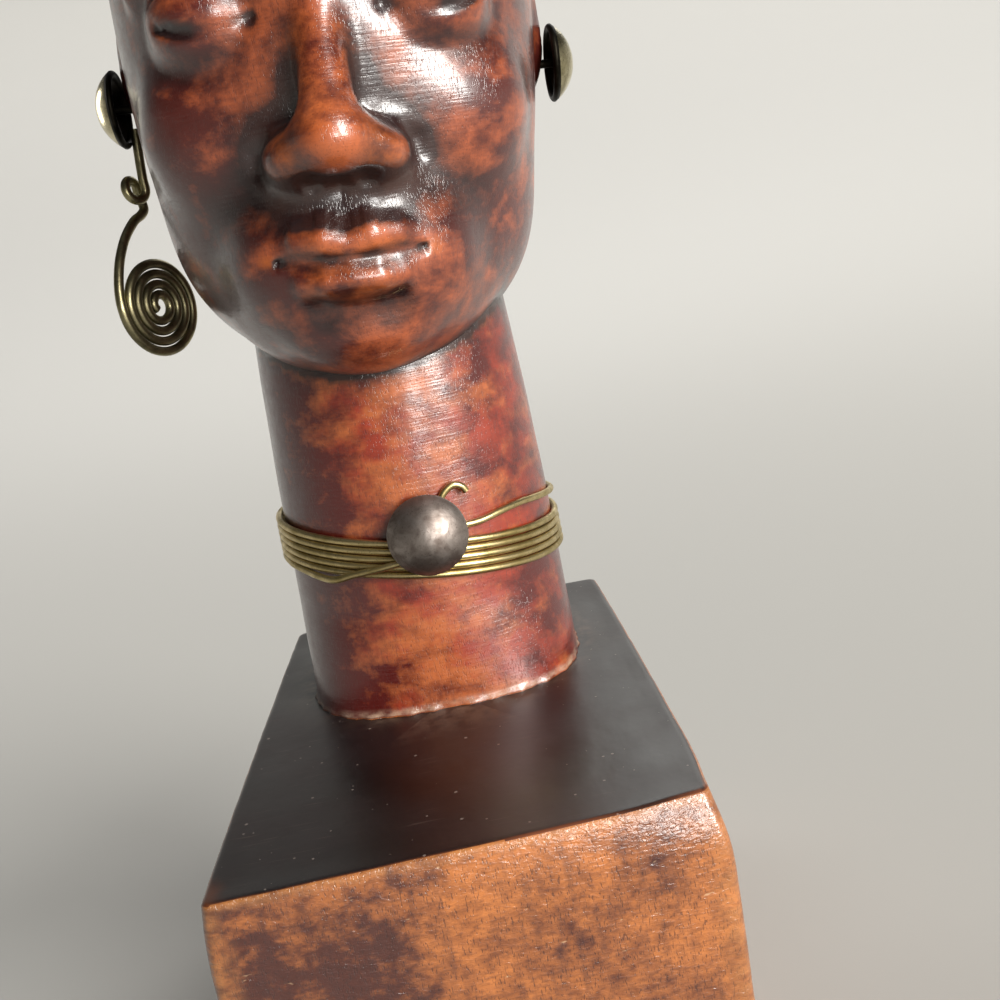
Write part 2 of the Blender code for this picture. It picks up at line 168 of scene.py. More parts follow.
def makeCarvedWood(look):
    material, tree, shader = newMaterial("mahoganyCarvedVarnished")
    hollow, worn, hair = channels(tree, "carving")
    face, foot = channels(tree, "zone")[:2]
    blotch = patternNoise(tree, look["blotchSize"], detail=7.0, roughness=0.64, distortion=0.15)
    cloud = patternNoise(tree, look["cloudSize"], detail=2.0, shift=(4, 1, 6))
    red = patternNoise(tree, look["redSize"], detail=5.0, roughness=0.6, shift=(2, 8, 3))
    streak = patternNoise(tree, look["streakSize"])
    brush = patternNoise(tree, look["brushSize"])
    pore = patternNoise(tree, look["poreSize"], detail=1.0, shift=(3, 5, 7))

    # stain wiped on by hand: clouds, broken up finer where it dried; darker toward both sides and at the left
    # of the neck's front, partly stain and partly painted shade
    patchyStainAndSideShade = plus(tree, times(tree, blotch, 0.65), times(tree, cloud, 0.35))
    # partly painted shade: these ramps darken both sides and the left of the neck's front
    patchyStainAndSideShade = plus(tree, patchyStainAndSideShade, ramp(tree, "x", -19, 0, -0.12, 0.03))
    patchyStainAndSideShade = plus(tree, patchyStainAndSideShade, ramp(tree, "x", 9, 19, 0.0, -0.10))
    neckLeftShade = times(tree, ramp(tree, "x", -19, -7, -0.08, 0.0), ramp(tree, "y", 8, 18, 1.0, -0.5))
    onNeck = mapped(tree, plus(tree, patchyStainAndSideShade, neckLeftShade), *look["stainEdge"])
    onFace = mapped(tree, patchyStainAndSideShade, *look["stainEdge"])
    redder = mapped(tree, plus(tree, red, ramp(tree, "x", 0, 16, -0.03, 0.10)), 0.44, 0.60)
    warm = mixColour(tree, redder, hexColour(look["neckLight"]), hexColour(look["neckRed"]))
    neck = mixColour(tree, onNeck, hexColour(look["neckDark"]), warm)
    visage = mixColour(tree, onFace, hexColour(look["faceDark"]), hexColour(look["faceLight"]))

    # hollows, creases, the jaw's meeting with the neck and the neck under the head go near black: pooled
    # stain and painted shade
    pooledStainAndShade = plus(tree, hollow, mapped(tree, blotch, 0.35, 0.65, 0.12, -0.12))
    crust = mapped(tree, patternNoise(tree, look["crustSize"], detail=4.0), 0.34, 0.72)
    crust = times(tree, crust, mapped(tree, cloud, 0.35, 0.6, 0.45, 1.0))
    colour = stained(tree, mixColour(tree, face, neck, visage), look, (
        ("grainDark", mapped(tree, streak, 0.50, 0.75, 0.0, 0.28)),
        ("grainDark", mapped(tree, brush, 0.50, 0.75, 0.0, 0.18)),
        ("grainDark", mapped(tree, pore, 0.60, 0.70, 0.0, 0.45)),
        ("hair", hair),
        ("worn", times(tree, worn, mapped(tree, blotch, 0.38, 0.58, 0.15, 1.0))),
        ("hollow", mapped(tree, pooledStainAndShade, 0.08, 0.72, 0.0, 0.95)),
        ("foot", times(tree, foot, crust))))
    knife = patternNoise(tree, look["knifeSize"], detail=1.0, shift=(7, 2, 5))
    normal = bumped(tree, knife, 0.5, 0.10)
    normal = bumped(tree, mapped(tree, pore, 0.58, 0.70, 1.0, 0.0), 0.35, 0.05, normal)
    finished(tree, shader, look, colour, blotch, bumped(tree, brush, 0.5, 0.06, normal))
    return material


blockSideLook = {
    "light": "#b86d33", "dark": "#4f1f0f", "streakDark": "#340f09", "pore": "#2f0f0b", "edge": "#b97a42",
    "scar": "#d8b48c", "cloudSize": (12, 12, 16), "blotchSize": (3.0, 3.0, 2.2), "streakSize": (0.9, 0.9, 15),
    "poreSize": (0.16, 0.16, 0.75), "rippleSize": (1.1, 1.1, 0.42), "scarSize": (2.4, 2.4, 1.1),
    "rough": (0.36, 0.54), "coat": 0.9, "coatRough": 0.22, "coatIor": 1.65,
}


def makeBlockSide(look):
    # scraped faces, grain upright and slightly curly, pores left open under thin varnish
    material, tree, shader = newMaterial("mahoganyScrapedSide")
    hollow, worn = channels(tree, "carving")[:2]
    cloud = patternNoise(tree, look["cloudSize"], distortion=0.8)
    blotch = patternNoise(tree, look["blotchSize"], detail=5.0, roughness=0.65)
    streak = patternNoise(tree, look["streakSize"], distortion=0.3)
    pore = patternNoise(tree, look["poreSize"], detail=1.0)
    ripple = patternNoise(tree, look["rippleSize"], detail=2.0, distortion=0.4)
    scar = patternNoise(tree, look["scarSize"], detail=2.0, shift=(11, 4, 9))

    # darker at the left of the front, a fifth of that further back: partly stain, partly painted shade
    frontLeftShade = times(tree, ramp(tree, "x", -30, 6, -0.18, 0.02), ramp(tree, "y", -42, -26, 1.0, 0.2))
    tone = plus(tree, plus(tree, times(tree, blotch, 0.5), times(tree, cloud, 0.5)), frontLeftShade)
    colour = stained(tree, ground(tree, look, tone, 0.36, 0.60), look, (
        ("streakDark", mapped(tree, tone, 0.44, 0.30, 0.0, 0.6)),
        ("streakDark", mapped(tree, streak, 0.50, 0.72, 0.0, 0.3)),
        ("streakDark", mapped(tree, ripple, 0.45, 0.70, 0.0, 0.38)),
        ("pore", mapped(tree, pore, 0.60, 0.68, 0.0, 0.6)),
        ("scar", mapped(tree, scar, 0.72, 0.77, 0.0, 0.5)),
        ("edge", times(tree, worn, mapped(tree, scar, 0.35, 0.6, 0.3, 1.0))),
        ("pore", hollow)))
    normal = bumped(tree, ripple, 0.8, 0.14)
    normal = bumped(tree, mapped(tree, pore, 0.58, 0.70, 1.0, 0.0), 0.4, 0.06, normal)
    normal = bumped(tree, mapped(tree, scar, 0.6, 0.8, 1.0, 0.0), 0.5, 0.15, normal)
    finished(tree, shader, look, colour, streak, normal)
    return material


blockTopLook = {
    "dark": "#0d0708", "light": "#1f1516", "dust": "#8c8078", "scratch": "#5a4c46", "edge": "#94502b",
    "film": "#6b5648", "cloudSize": (14, 14, 14), "dustCell": 1.5, "dustSpread": (2.1, 2.1, 2.1),
    "scratchSize": (7, 0.16, 7), "filmSize": (2, 2, 2), "planeSize": (5, 7, 5),
    "rough": (0.34, 0.48), "coat": 0.35, "coatRough": 0.3, "coatIor": 1.5,
}


def makeBlockTop(look):
    # blackened with thick stain, satin varnish with dust dried into it and fine scratches
    material, tree, shader = newMaterial("mahoganyBlackenedTop")
    worn, byNeck = channels(tree, "carving")[1], channels(tree, "zone")[2]
    cloud = patternNoise(tree, look["cloudSize"], detail=5.0)
    place = addNode(tree, "ShaderNodeTexCoord")
    specks = addNode(tree, "ShaderNodeTexVoronoi", {"Vector": place.outputs["Object"],
                                                    "Scale": 1000 / look["dustCell"]})
    speckSize = mapped(tree, patternNoise(tree, look["dustSpread"], detail=0.0), 0.40, 0.75, 0.0, 0.14)
    dust = combined(tree, "LESS_THAN", specks.outputs["Distance"], speckSize)
    scratch = patternNoise(tree, look["scratchSize"], detail=1.0, distortion=0.4)
    scratch = times(tree, mapped(tree, scratch, 0.66, 0.74), mapped(tree, cloud, 0.45, 0.6))
    film = mapped(tree, patternNoise(tree, look["filmSize"], detail=4.0), 0.35, 0.65)
    colour = stained(tree, ground(tree, look, cloud, 0.35, 0.65), look, (
        ("scratch", times(tree, scratch, 0.5)), ("dust", times(tree, dust, 0.75)),
        ("edge", times(tree, worn, mapped(tree, cloud, 0.35, 0.6, 0.2, 1.0))),
        ("film", times(tree, byNeck, film))))
    planed = bumped(tree, patternNoise(tree, look["planeSize"]), 0.5, 0.12)
    finished(tree, shader, look, colour, cloud, bumped(tree, dust, 0.6, 0.06, planed))
    return material


# Metal: drawn wire and pressed nails, never polished since

wireLook = {"light": "#d8c592", "dark": "#ac9a66", "tarnish": "#5e5033", "patch": 3.5, "speck": 0.25,
            "rough": (0.46, 0.30)}
coilLook = {"light": "#a39b78", "dark": "#766f55", "tarnish": "#3b372c", "patch": 3.5, "speck": 0.25,
            "rough": (0.46, 0.30)}
studLook = {"light": "#d9d0ae", "dark": "#9c9373", "tarnish": "#34322a", "patch": 4.5, "speck": 0.3,
            "rough": (0.32, 0.18)}
# near-black metal for the nails' undersides, hollows, shanks and the studs' rolled rims: painted shade
undersideShadeLook = {"light": "#2b2822", "dark": "#15130f", "tarnish": "#0b0a08", "patch": 3, "speck": 0.3,
           "rough": (0.55, 0.38)}
tackLook = {"light": "#a0968f", "dark": "#766b64", "tarnish": "#51433e", "patch": 2.2, "speck": 0.22,
            "rough": (0.54, 0.40)}


def makeMetal(name, look):
    # patches of dull metal between darker tarnish, rougher where it is dark
    material, tree, shader = newMaterial(name)
    patch = patternNoise(tree, [look["patch"]] * 3, detail=4.0, distortion=0.5)
    speck = patternNoise(tree, [look["speck"]] * 3, detail=2.0)
    tarnish = mapped(tree, speck, 0.58, 0.74, 0.0, 0.6)
    colour = stained(tree, ground(tree, look, patch, 0.38, 0.62), look, (("tarnish", tarnish),))
    shader.inputs["Metallic"].default_value = 1.0
    finished(tree, shader, look, colour, patch, bumped(tree, speck, 0.35, 0.03))
    return material


# Carving of the head, in shares of its height from the chin (0) to the crown (1)
# x runs to the viewer's right, y to the back; every shape returns its signed distance

def blend(a, b, width):
    share = np.clip(0.5 + 0.5 * (b - a) / width, 0.0, 1.0)
    return b * (1 - share) + a * share - width * share * (1 - share)


def cut(a, b, width):
    return -blend(-a, b, width)


def ellipsoid(p, centre, radii):
    radii = np.array(radii)
    q = (p - np.array(centre)) / radii
    near = np.linalg.norm(q, axis=1)
    slope = np.linalg.norm(q / radii, axis=1)
    return near * (near - 1) / np.maximum(slope, 1e-9)


def rod(p, start, end, startRadius, endRadius):
    along = end - start
    t = np.clip((p - start) @ along / (along @ along), 0.0, 1.0)
    reach = np.linalg.norm(p - start - t[:, None] * along, axis=1)
    return reach - (startRadius + t * (endRadius - startRadius))


def ridge(p, start, middle, end, radii):
    # bent bar through three points, with a radius for each of its joints
    start, middle, end = np.array(start), np.array(middle), np.array(end)
    pull = 2 * middle - (start + end) / 2
    count = len(radii) - 1
    steps = [i / count for i in range(count + 1)]
    points = [(1 - t) ** 2 * start + 2 * t * (1 - t) * pull + t * t * end for t in steps]
    return np.min([rod(p, points[i], points[i + 1], radii[i], radii[i + 1]) for i in range(count)], axis=0)


def mirrored(p):
    return np.column_stack((np.abs(p[:, 0]), p[:, 1], p[:, 2]))


def ease(value):
    share = np.clip(value, 0.0, 1.0)
    return share * share * (3 - 2 * share)


def skull(p):
    form = ellipsoid(p, (0, 0.03, 0.60), (0.328, 0.405, 0.40))
    form = blend(form, ellipsoid(p, (0, -0.045, 0.33), (0.292, 0.29, 0.31)), 0.12)
    form = blend(form, ellipsoid(p, (0, 0.02, 0.21), (0.274, 0.266, 0.205)), 0.08)
    form = blend(form, ellipsoid(p, (0, -0.175, 0.125), (0.170, 0.145, 0.122)), 0.09)
    return blend(form, ellipsoid(p, (0, -0.268, 0.075), (0.078, 0.058, 0.055)), 0.06)


def carveEyes(p, form):
    half = mirrored(p)
    form = blend(form, ellipsoid(half, (0.165, -0.215, 0.365), (0.095, 0.085, 0.085)), 0.07)
    brow = ridge(half, (0.025, -0.345, 0.555), (0.13, -0.345, 0.592), (0.245, -0.235, 0.560),
                 (0.024, 0.026, 0.026, 0.022, 0.014))
    form = blend(form, brow, 0.035)
    form = cut(form, ellipsoid(half, (0.140, -0.415, 0.495), (0.088, 0.075, 0.052)), 0.030)
    form = blend(form, ellipsoid(half, (0.142, -0.262, 0.497), (0.090, 0.094, 0.080)), 0.014)
    slit = ridge(half, (0.084, -0.346, 0.484), (0.144, -0.360, 0.470), (0.212, -0.313, 0.489),
                 (0.002, 0.006, 0.008, 0.008, 0.006, 0.002))
    form = cut(form, slit, 0.012)
    crease = ridge(half, (0.092, -0.340, 0.530), (0.146, -0.348, 0.549), (0.216, -0.300, 0.526),
                   (0.001, 0.004, 0.006, 0.006, 0.004, 0.001))
    return cut(form, crease, 0.014)


def carveNose(p, form):
    half = mirrored(p)
    bridge = ridge(p, (0, -0.325, 0.560), (0, -0.352, 0.48), (0, -0.398, 0.335), (0.026, 0.026, 0.040))
    form = blend(form, bridge, 0.030)
    form = blend(form, ellipsoid(p, (0, -0.398, 0.314), (0.050, 0.054, 0.038)), 0.040)
    form = blend(form, ellipsoid(half, (0.060, -0.355, 0.302), (0.037, 0.054, 0.032)), 0.040)
    form = cut(form, ridge(half, (0.098, -0.345, 0.335), (0.112, -0.330, 0.305), (0.104, -0.335, 0.272),
                           (0.004, 0.009, 0.009, 0.004)), 0.016)
    return cut(form, ellipsoid(half, (0.036, -0.388, 0.262), (0.019, 0.030, 0.015)), 0.012)


def carveMouth(p, form):
    half = mirrored(p)
    form = blend(form, ellipsoid(p, (0, -0.268, 0.175), (0.155, 0.100, 0.105)), 0.07)
    groove = ridge(p, (0, -0.392, 0.255), (0, -0.392, 0.235), (0, -0.390, 0.215), (0.010, 0.011, 0.012))
    form = cut(form, groove, 0.02)
    upper = ridge(half, (0.0, -0.362, 0.190), (0.060, -0.350, 0.198), (0.120, -0.292, 0.180),
                  (0.027, 0.030, 0.026, 0.018, 0.008))
    lower = ridge(half, (0.0, -0.356, 0.139), (0.058, -0.342, 0.145), (0.118, -0.290, 0.172),
                  (0.035, 0.034, 0.029, 0.018, 0.007))
    parting = ridge(half, (0.0, -0.395, 0.1655), (0.060, -0.381, 0.171), (0.110, -0.330, 0.1745),
                    (0.007, 0.007, 0.007, 0.006, 0.004, 0.001))
    form = cut(blend(blend(form, upper, 0.008), lower, 0.008), parting, 0.011)
    hollow = ridge(half, (0.0, -0.385, 0.090), (0.025, -0.378, 0.091), (0.05, -0.365, 0.093),
                   (0.022, 0.019, 0.016))
    return cut(form, hollow, 0.04)


def carveEars(p, form):
    half = mirrored(p)
    form = blend(form, ellipsoid(half, (0.306, 0.045, 0.515), (0.040, 0.068, 0.115)), 0.010)
    form = cut(form, ellipsoid(half, (0.350, 0.036, 0.540), (0.024, 0.034, 0.062)), 0.010)
    inner = ridge(half, (0.318, 0.070, 0.470), (0.322, 0.062, 0.535), (0.316, 0.030, 0.585),
                  (0.008, 0.010, 0.009))
    return blend(form, inner, 0.008)


def hairline(p):
    # height at which the hair begins, over the forehead, the temples and the nape
    half = mirrored(p)
    forehead = 0.845 - 0.30 * np.clip(half[:, 0] - 0.10, 0, None)
    temple, nape = 0.66, 0.28
    line = forehead + (temple - forehead) * ease((half[:, 1] + 0.22) / 0.10)
    return line + (nape - line) * ease((half[:, 1] - 0.10) / 0.08)


hairRows = {"count": 26, "depth": 0.010, "lockLength": 0.05, "lockDepth": 0.003}


def carveHair(p, form):
    # thin cap of rows that run from the forehead to the nape
    across = np.arctan2(p[:, 0], p[:, 2] - 0.45)
    along = np.arctan2(p[:, 1], p[:, 2] - 0.45)
    row = np.abs(np.sin(across * hairRows["count"] / 2))
    lock = np.abs(np.sin(along * math.pi * 0.4 / hairRows["lockLength"]))
    cap = ellipsoid(p, (0, 0.03, 0.60), (0.342, 0.420, 0.415))
    cap = cap + hairRows["depth"] * (1 - np.sqrt(row)) + hairRows["lockDepth"] * (1 - lock) * row
    return blend(form, np.maximum(cap, (hairline(p) - p[:, 2]) * 0.9), 0.006)


def headForm(p):
    form = carveMouth(p, carveNose(p, carveEyes(p, skull(p))))
    return carveHair(p, carveEars(p, form))


rayStep, halvings = 0.022, 11


def surfaceAlong(starts, directions, reach, shortest=0.0):
    # outermost point of the head along each ray, found from outside inwards and then by halving
    outer = np.full(len(starts), reach)
    inner = np.full(len(starts), shortest)
    found = np.zeros(len(starts), bool)
    steps = np.arange(reach, shortest, -rayStep)
    for last, step in zip(steps[:-1], steps[1:]):
        left = np.where(~found)[0]
        hits = left[headForm(starts[left] + directions[left] * step) < 0]
        outer[hits] = last
        inner[hits] = step
        found[hits] = True
    for _ in range(halvings):
        middle = (outer + inner) / 2
        inside = headForm(starts + directions * middle[:, None]) < 0
        inner = np.where(inside, middle, inner)
        outer = np.where(inside, outer, middle)
    return starts + directions * ((outer + inner) / 2)[:, None]


# The carved piece: block, neck and head

bust = {
    "blockHeight": 50 * mm, "blockDepth": 83 * mm, "topWidth": 56.7 * mm, "footSplay": 1.0 * mm,
    "backNarrowing": 0.9 * mm, "frontSkew": 1.6 * mm, "frontSwell": 1.4 * mm, "frontShoulder": 6 * mm,
    "bulge": 0.3 * mm, "cornerRadius": 1.2 * mm,
    "edge": 0.5 * mm, "shoulder": 10 * mm,
    "neckX": -0.5 * mm, "neckToBack": 25 * mm, "neckLength": 47.5 * mm, "neckFoot": 20.5 * mm,
    "neckTop": 19 * mm, "squareness": 2.9, "neckRoot": 6 * mm,
    "headHeight": 87 * mm, "tilt": math.radians(3.4), "yaw": math.radians(1.0),
    "earPlace": (0.0, 0.03, 0.4484),
    "middle": (0.0, -0.02, 0.42), "meridians": 330, "levels": 205, "crowding": 0.6, "faceDrop": 0.2,
    "neckSides": 180, "unevenness": 0.10 * mm, "dents": 0.2 * mm, "hollowing": 0.15 * mm,
    "wornCorner": 0.9 * mm,
}
blockTop = bust["blockHeight"]
neckY = bust["blockDepth"] / 2 - bust["neckToBack"]


def headMatrix():
    pivot = Vector(bust["earPlace"]) * bust["headHeight"]
    place = Vector((0.0, neckY, blockTop + bust["neckLength"]))
    turn = Matrix.Rotation(bust["yaw"], 4, "Z") @ Matrix.Rotation(bust["tilt"], 4, "Y")
    return (Matrix.Translation(place + pivot) @ turn @ Matrix.Translation(-pivot)
            @ Matrix.Scale(bust["headHeight"], 4))


def moved(points, matrix):
    m = np.array(matrix)
    return points @ m[:3, :3].T + m[:3, 3]


def meshFromRings(name, rings):
    # closed skin over rings of equal point count, given from the bottom up
    count = len(rings[0])
    points = np.concatenate(rings)
    faces = []
    for level in range(len(rings) - 1):
        low = level * count
        for i in range(count):
            j = (i + 1) % count
            faces.append((low + i, low + j, low + count + j, low + count + i))
    faces.append(tuple(reversed(range(count))))
    faces.append(tuple(range(len(points) - count, len(points))))
    mesh = bpy.data.meshes.new(name)
    mesh.from_pydata(points.tolist(), [], faces)
    mesh.update()
    return newObject(name, mesh)


def makeHead():
    around = np.linspace(-math.pi, math.pi, bust["meridians"], endpoint=False)
    around = around - bust["crowding"] * np.sin(around)
    height = np.linspace(-math.pi / 2, math.pi / 2, bust["levels"] + 2)[1:-1]
    height = height - 0.4 * bust["crowding"] * np.sin(2 * height) - bust["faceDrop"] * np.cos(height)
    a, h = np.meshgrid(around, height)
    directions = np.stack((np.sin(a) * np.cos(h), -np.cos(a) * np.cos(h), np.sin(h)), -1).reshape(-1, 3)
    starts = np.tile(np.array(bust["middle"]), (len(directions), 1))
    points = moved(surfaceAlong(starts, directions, 0.64, 0.2), headMatrix())
    return meshFromRings("head", points.reshape(bust["levels"], bust["meridians"], 3))


def wander(points, size, seed):
    # slow hand-made unevenness, between -1 and 1
    shift = Vector((seed, seed * 0.37, seed * 0.71))
    return np.array([noise.noise(Vector(p) / size + shift) for p in points])


def neckRadius(z):
    share = np.clip(z / bust["neckLength"], 0.0, 1.2)
    return bust["neckFoot"] + (bust["neckTop"] - bust["neckFoot"]) * share ** 2


def makeNeck():
    levels = [-bust["neckRoot"], -1 * mm] + list(np.linspace(-0.4, 2.4, 15) * mm)
    levels += list(np.linspace(3.2 * mm, bust["neckLength"] * 1.18, 46))
    angle = np.linspace(0, math.tau, bust["neckSides"], endpoint=False)
    c, s = np.cos(angle), np.sin(angle)
    rings = []
    for z in levels:
        square = max(0.0, 1.0 - max(z, 0.0) / (bust["neckLength"] * 0.3))
        power = 2.0 + (bust["squareness"] - 2.0) * square
        reach = neckRadius(z) / (np.abs(c) ** power + np.abs(s) ** power) ** (1 / power)
        ring = np.column_stack((bust["neckX"] + reach * c, neckY + reach * s, np.full(len(c), blockTop + z)))
        out = np.column_stack((c, s, 0 * c))
        swell = bust["unevenness"] * wander(ring, 9 * mm, 3.1)
        frayed = np.clip(wander(ring * [1, 1, 0.4], 1.3 * mm, 8.4) + 0.3, 0, 1.2)
        lip = 0.55 * mm * ease((1.1 * mm - z) / (1.1 * mm)) * frayed
        rings.append(ring + out * (swell + lip - 0.12 * mm)[:, None])
    return meshFromRings("neck", rings)


def blockRing(z, inset):
    # rounded rectangle with slightly full sides, narrower at the back, its front askew and swelling below
    down = min(1.0, (blockTop - z) / bust["shoulder"])
    frontSwell = bust["frontSwell"] * math.sin(min(1.0, (blockTop - z) / bust["frontShoulder"]) * math.pi / 2)
    halfX = bust["topWidth"] / 2 + bust["footSplay"] * math.sin(down * math.pi / 2) - bust["bulge"] - inset
    halfY = bust["blockDepth"] / 2 - bust["bulge"] - inset
    radius = bust["cornerRadius"]
    points = []
    for corner, (sx, sy) in enumerate(((1, 1), (-1, 1), (-1, -1), (1, -1))):
        for step in range(7):
            angle = corner * math.pi / 2 + step * math.pi / 12
            points.append((sx * (halfX - radius) + radius * math.cos(angle),
                           sy * (halfY - radius) + radius * math.sin(angle)))
        for share in np.linspace(-1, 1, 42)[1:-1]:
            if corner % 2 == 0:
                points.append((-sx * share * (halfX - radius), sy * halfY))
            else:
                points.append((sx * halfX, -sy * share * (halfY - radius)))
    x, y = np.array(points).T
    toRight, toBack = x / halfX, y / halfY
    swellX = bust["bulge"] * (1 - toBack ** 2) * np.sign(x) * (np.abs(x) > halfX - radius)
    swellY = bust["bulge"] * (1 - toRight ** 2) * np.sign(y) * (np.abs(y) > halfY - radius)
    narrower = bust["backNarrowing"] * toRight * (1 + toBack) / 2
    askew = (bust["frontSkew"] * toRight - frontSwell * (1 + toRight) / 2) * (1 - toBack) / 2
    ring = np.column_stack((x + swellX - narrower, y + swellY + askew, np.full(len(x), z)))
    inward = -ring * [1, 1, 0] / np.linalg.norm(ring[:, :2], axis=1)[:, None]
    dent = 0.5 + 0.5 * wander(ring, 13 * mm, 1.7) + 0.35 * wander(ring, 3 * mm, 5.2)
    worn = ease((toRight - 0.6) / 0.45) * ease((-toBack - 0.7) / 0.35)
    worn = worn * ease(1 - (blockTop - z) / (9 * mm)) ** 2
    return ring + inward * (np.clip(dent, 0, 1) * bust["dents"] + worn * bust["wornCorner"])[:, None]


def makeBlock():
    edge = bust["edge"]
    levels = [(0.0, edge), (edge, 0.0)]
    levels += [(z, 0.0) for z in np.linspace(2 * mm, blockTop - 1.5 * mm, 34)]
    levels += [(blockTop - 0.8 * edge, 0.0), (blockTop - 0.4 * edge, 0.12 * edge),
               (blockTop - 0.1 * edge, 0.45 * edge), (blockTop, edge)]
    rings = [blockRing(z, inset) for z, inset in levels]
    rim = rings[-1]
    for share in (0.985, 0.965, 0.94, 0.91, 0.86, 0.78, 0.66, 0.5, 0.32, 0.12):
        ring = rim * [share, share, 1]
        uneven = 0.5 + 0.5 * wander(ring, 11 * mm, 6.6)
        ring[:, 2] -= bust["hollowing"] * uneven * min(1.0, (1 - share) * 12)
        rings.append(ring)
    return meshFromRings("block", rings)


def joined(name, base, others):
    for other in others:
        union = base.modifiers.new(other.name, "BOOLEAN")
        union.operation = "UNION"
        union.solver = "EXACT"
        union.object = other
    mesh = bpy.data.meshes.new_from_object(base.evaluated_get(bpy.context.evaluated_depsgraph_get()))
    mesh.name = name
    for old in (base, *others):
        bpy.data.objects.remove(old)
    return newObject(name, mesh)


# reaches on the head are in shares of its height, with their strengths
marking = {"reaches": ((0.012, 0.9), (0.04, 1.0), (0.10, 0.9)), "headSkin": 0.006, "underHeadShade": 0.013,
           "jawShade": 1.6 * mm, "frayTop": 1.4 * mm, "frayFade": 1.1 * mm, "filmStart": 0.6 * mm,
           "filmFade": 1.5 * mm, "level": 0.05 * mm}


def markCarving(thing):
    # stain lies in hollows and creases, which also take painted shade, as do the jaw's meeting with the neck
    # and the neck just under the head; the stain is rubbed off raised places and edges
    mesh = thing.data
    count = len(mesh.vertices)
    points = np.empty(count * 3)
    mesh.vertices.foreach_get("co", points)
    points = points.reshape(-1, 3)
    normals = np.empty(count * 3)
    mesh.vertex_normals.foreach_get("vector", normals)
    normals = normals.reshape(-1, 3)
    matrix = headMatrix()
    local = moved(points, matrix.inverted())
    localNormals = normals @ np.array(matrix.to_3x3().normalized())
    depth = headForm(local)
    onHead = (np.abs(depth) < marking["headSkin"]) & (local[:, 2] > -0.06)

    hollow, worn = np.zeros(count), np.zeros(count)
    # hollow: how deep each point lies in a hollow, used for stain and painted shade; worn: how far it stands
    # out
    for reach, strength in marking["reaches"]:
        hollow += strength * (reach - headForm(local + localNormals * reach)) / reach
        worn += strength * (headForm(local - localNormals * reach) + reach) / reach
    hollow = np.where(onHead, np.clip(hollow, 0, 1), 0)
    worn = np.where(onHead, np.clip(worn * 0.7 - 0.42, 0, 0.85), 0)

    fromNeck = np.hypot(points[:, 0] - bust["neckX"], points[:, 1] - neckY)
    above = points[:, 2] - blockTop
    # painted shade: dark on the head where the jaw meets the neck, and on the neck just under the head
    jawShade = np.exp(-np.clip(fromNeck - neckRadius(above), 0, None) / marking["jawShade"])
    jawShade = jawShade * (above < 60 * mm)
    onNeck = ~onHead & (above > marking["level"])
    hollow = np.where(onHead, np.maximum(hollow, jawShade * 0.9), hollow)
    hollow = np.where(onNeck, np.exp(-np.clip(depth, 0, None) / marking["underHeadShade"]) * 0.9, hollow)

    halfX, halfY = bust["topWidth"] / 2, bust["blockDepth"] / 2
    onBlock = above < marking["level"]
    side = np.minimum(halfX - np.abs(points[:, 0]), halfY - np.abs(points[:, 1]))
    corner = ease((np.abs(points[:, 0]) - halfX + 3.0 * mm) / (2.5 * mm)) * ease(
        (np.abs(points[:, 1]) - halfY + 4.0 * mm) / (3.0 * mm))
    flat = np.abs(normals[:, 2]) > 0.95
    rim = ease((above + 0.9 * mm) / (0.6 * mm)) * np.where(flat | (side > 3.5 * mm), 0.0, 1.0)
    atFront = 0.2 + 0.8 * ease((-points[:, 1] - halfY + 7 * mm) / (4 * mm))
    worn = np.where(onBlock, np.maximum(corner * 0.5, rim * 0.6) * atFront, worn)
    footFray = np.where(onNeck, ease((marking["frayTop"] - above) / marking["frayFade"]), 0)
    beyond = np.clip(fromNeck - neckRadius(0) - marking["filmStart"], 0, None)
    footFilm = np.where(onBlock & flat, np.exp(-beyond / marking["filmFade"]), 0)
    hair = np.where(onHead, ease((local[:, 2] - hairline(local) + 0.030) / 0.008), 0)
    worn = worn * (1 - 0.8 * hair)

    carving = mesh.attributes.new("carving", "FLOAT_COLOR", "POINT")
    carving.data.foreach_set("color", np.column_stack((hollow, worn, hair, hollow * 0 + 1)).ravel())
    zone = mesh.attributes.new("zone", "FLOAT_COLOR", "POINT")
    face = onHead.astype(float)
    zone.data.foreach_set("color", np.column_stack((face, footFray, footFilm, face * 0 + 1)).ravel())


def makeBust():
    thing = joined("carvedBust", makeBlock(), (makeNeck(), makeHead()))
    mesh = thing.data
    mesh.materials.clear()
    mesh.materials.append(makeCarvedWood(carvedWoodLook))
    mesh.materials.append(makeBlockSide(blockSideLook))
    mesh.materials.append(makeBlockTop(blockTopLook))
    for face in mesh.polygons:
        flat = face.center.z > blockTop - 0.3 * bust["edge"] and abs(face.normal.z) > 0.8
        if face.center.z < blockTop + 0.02 * mm:
            face.material_index = 2 if flat else 1
    mesh.shade_smooth()
    mesh.set_sharp_from_angle(angle=math.radians(60))
    markCarving(thing)
    return thing


# Nails: a profile turned round its axis, beaten a little out of true

tack = {"diameter": 11 * mm, "dome": 2.9 * mm, "wall": 0.7 * mm, "shank": 0.6 * mm, "x": 1.7 * mm,
        "aboveBlock": 25.4 * mm, "lean": math.radians(6.0), "dent": 0.07 * mm, "rolledRim": 0.3 * mm,
        "shadeBelow": 0.0}
stud = {"diameter": 10.6 * mm, "dome": 3.0 * mm, "wall": 0.7 * mm, "shank": 0.6 * mm, "standoff": 1.6 * mm,
        "dent": 0.04 * mm, "rolledRim": 0.5 * mm, "shadeBelow": 0.5 * mm}
touchGap = 0.3 * mm


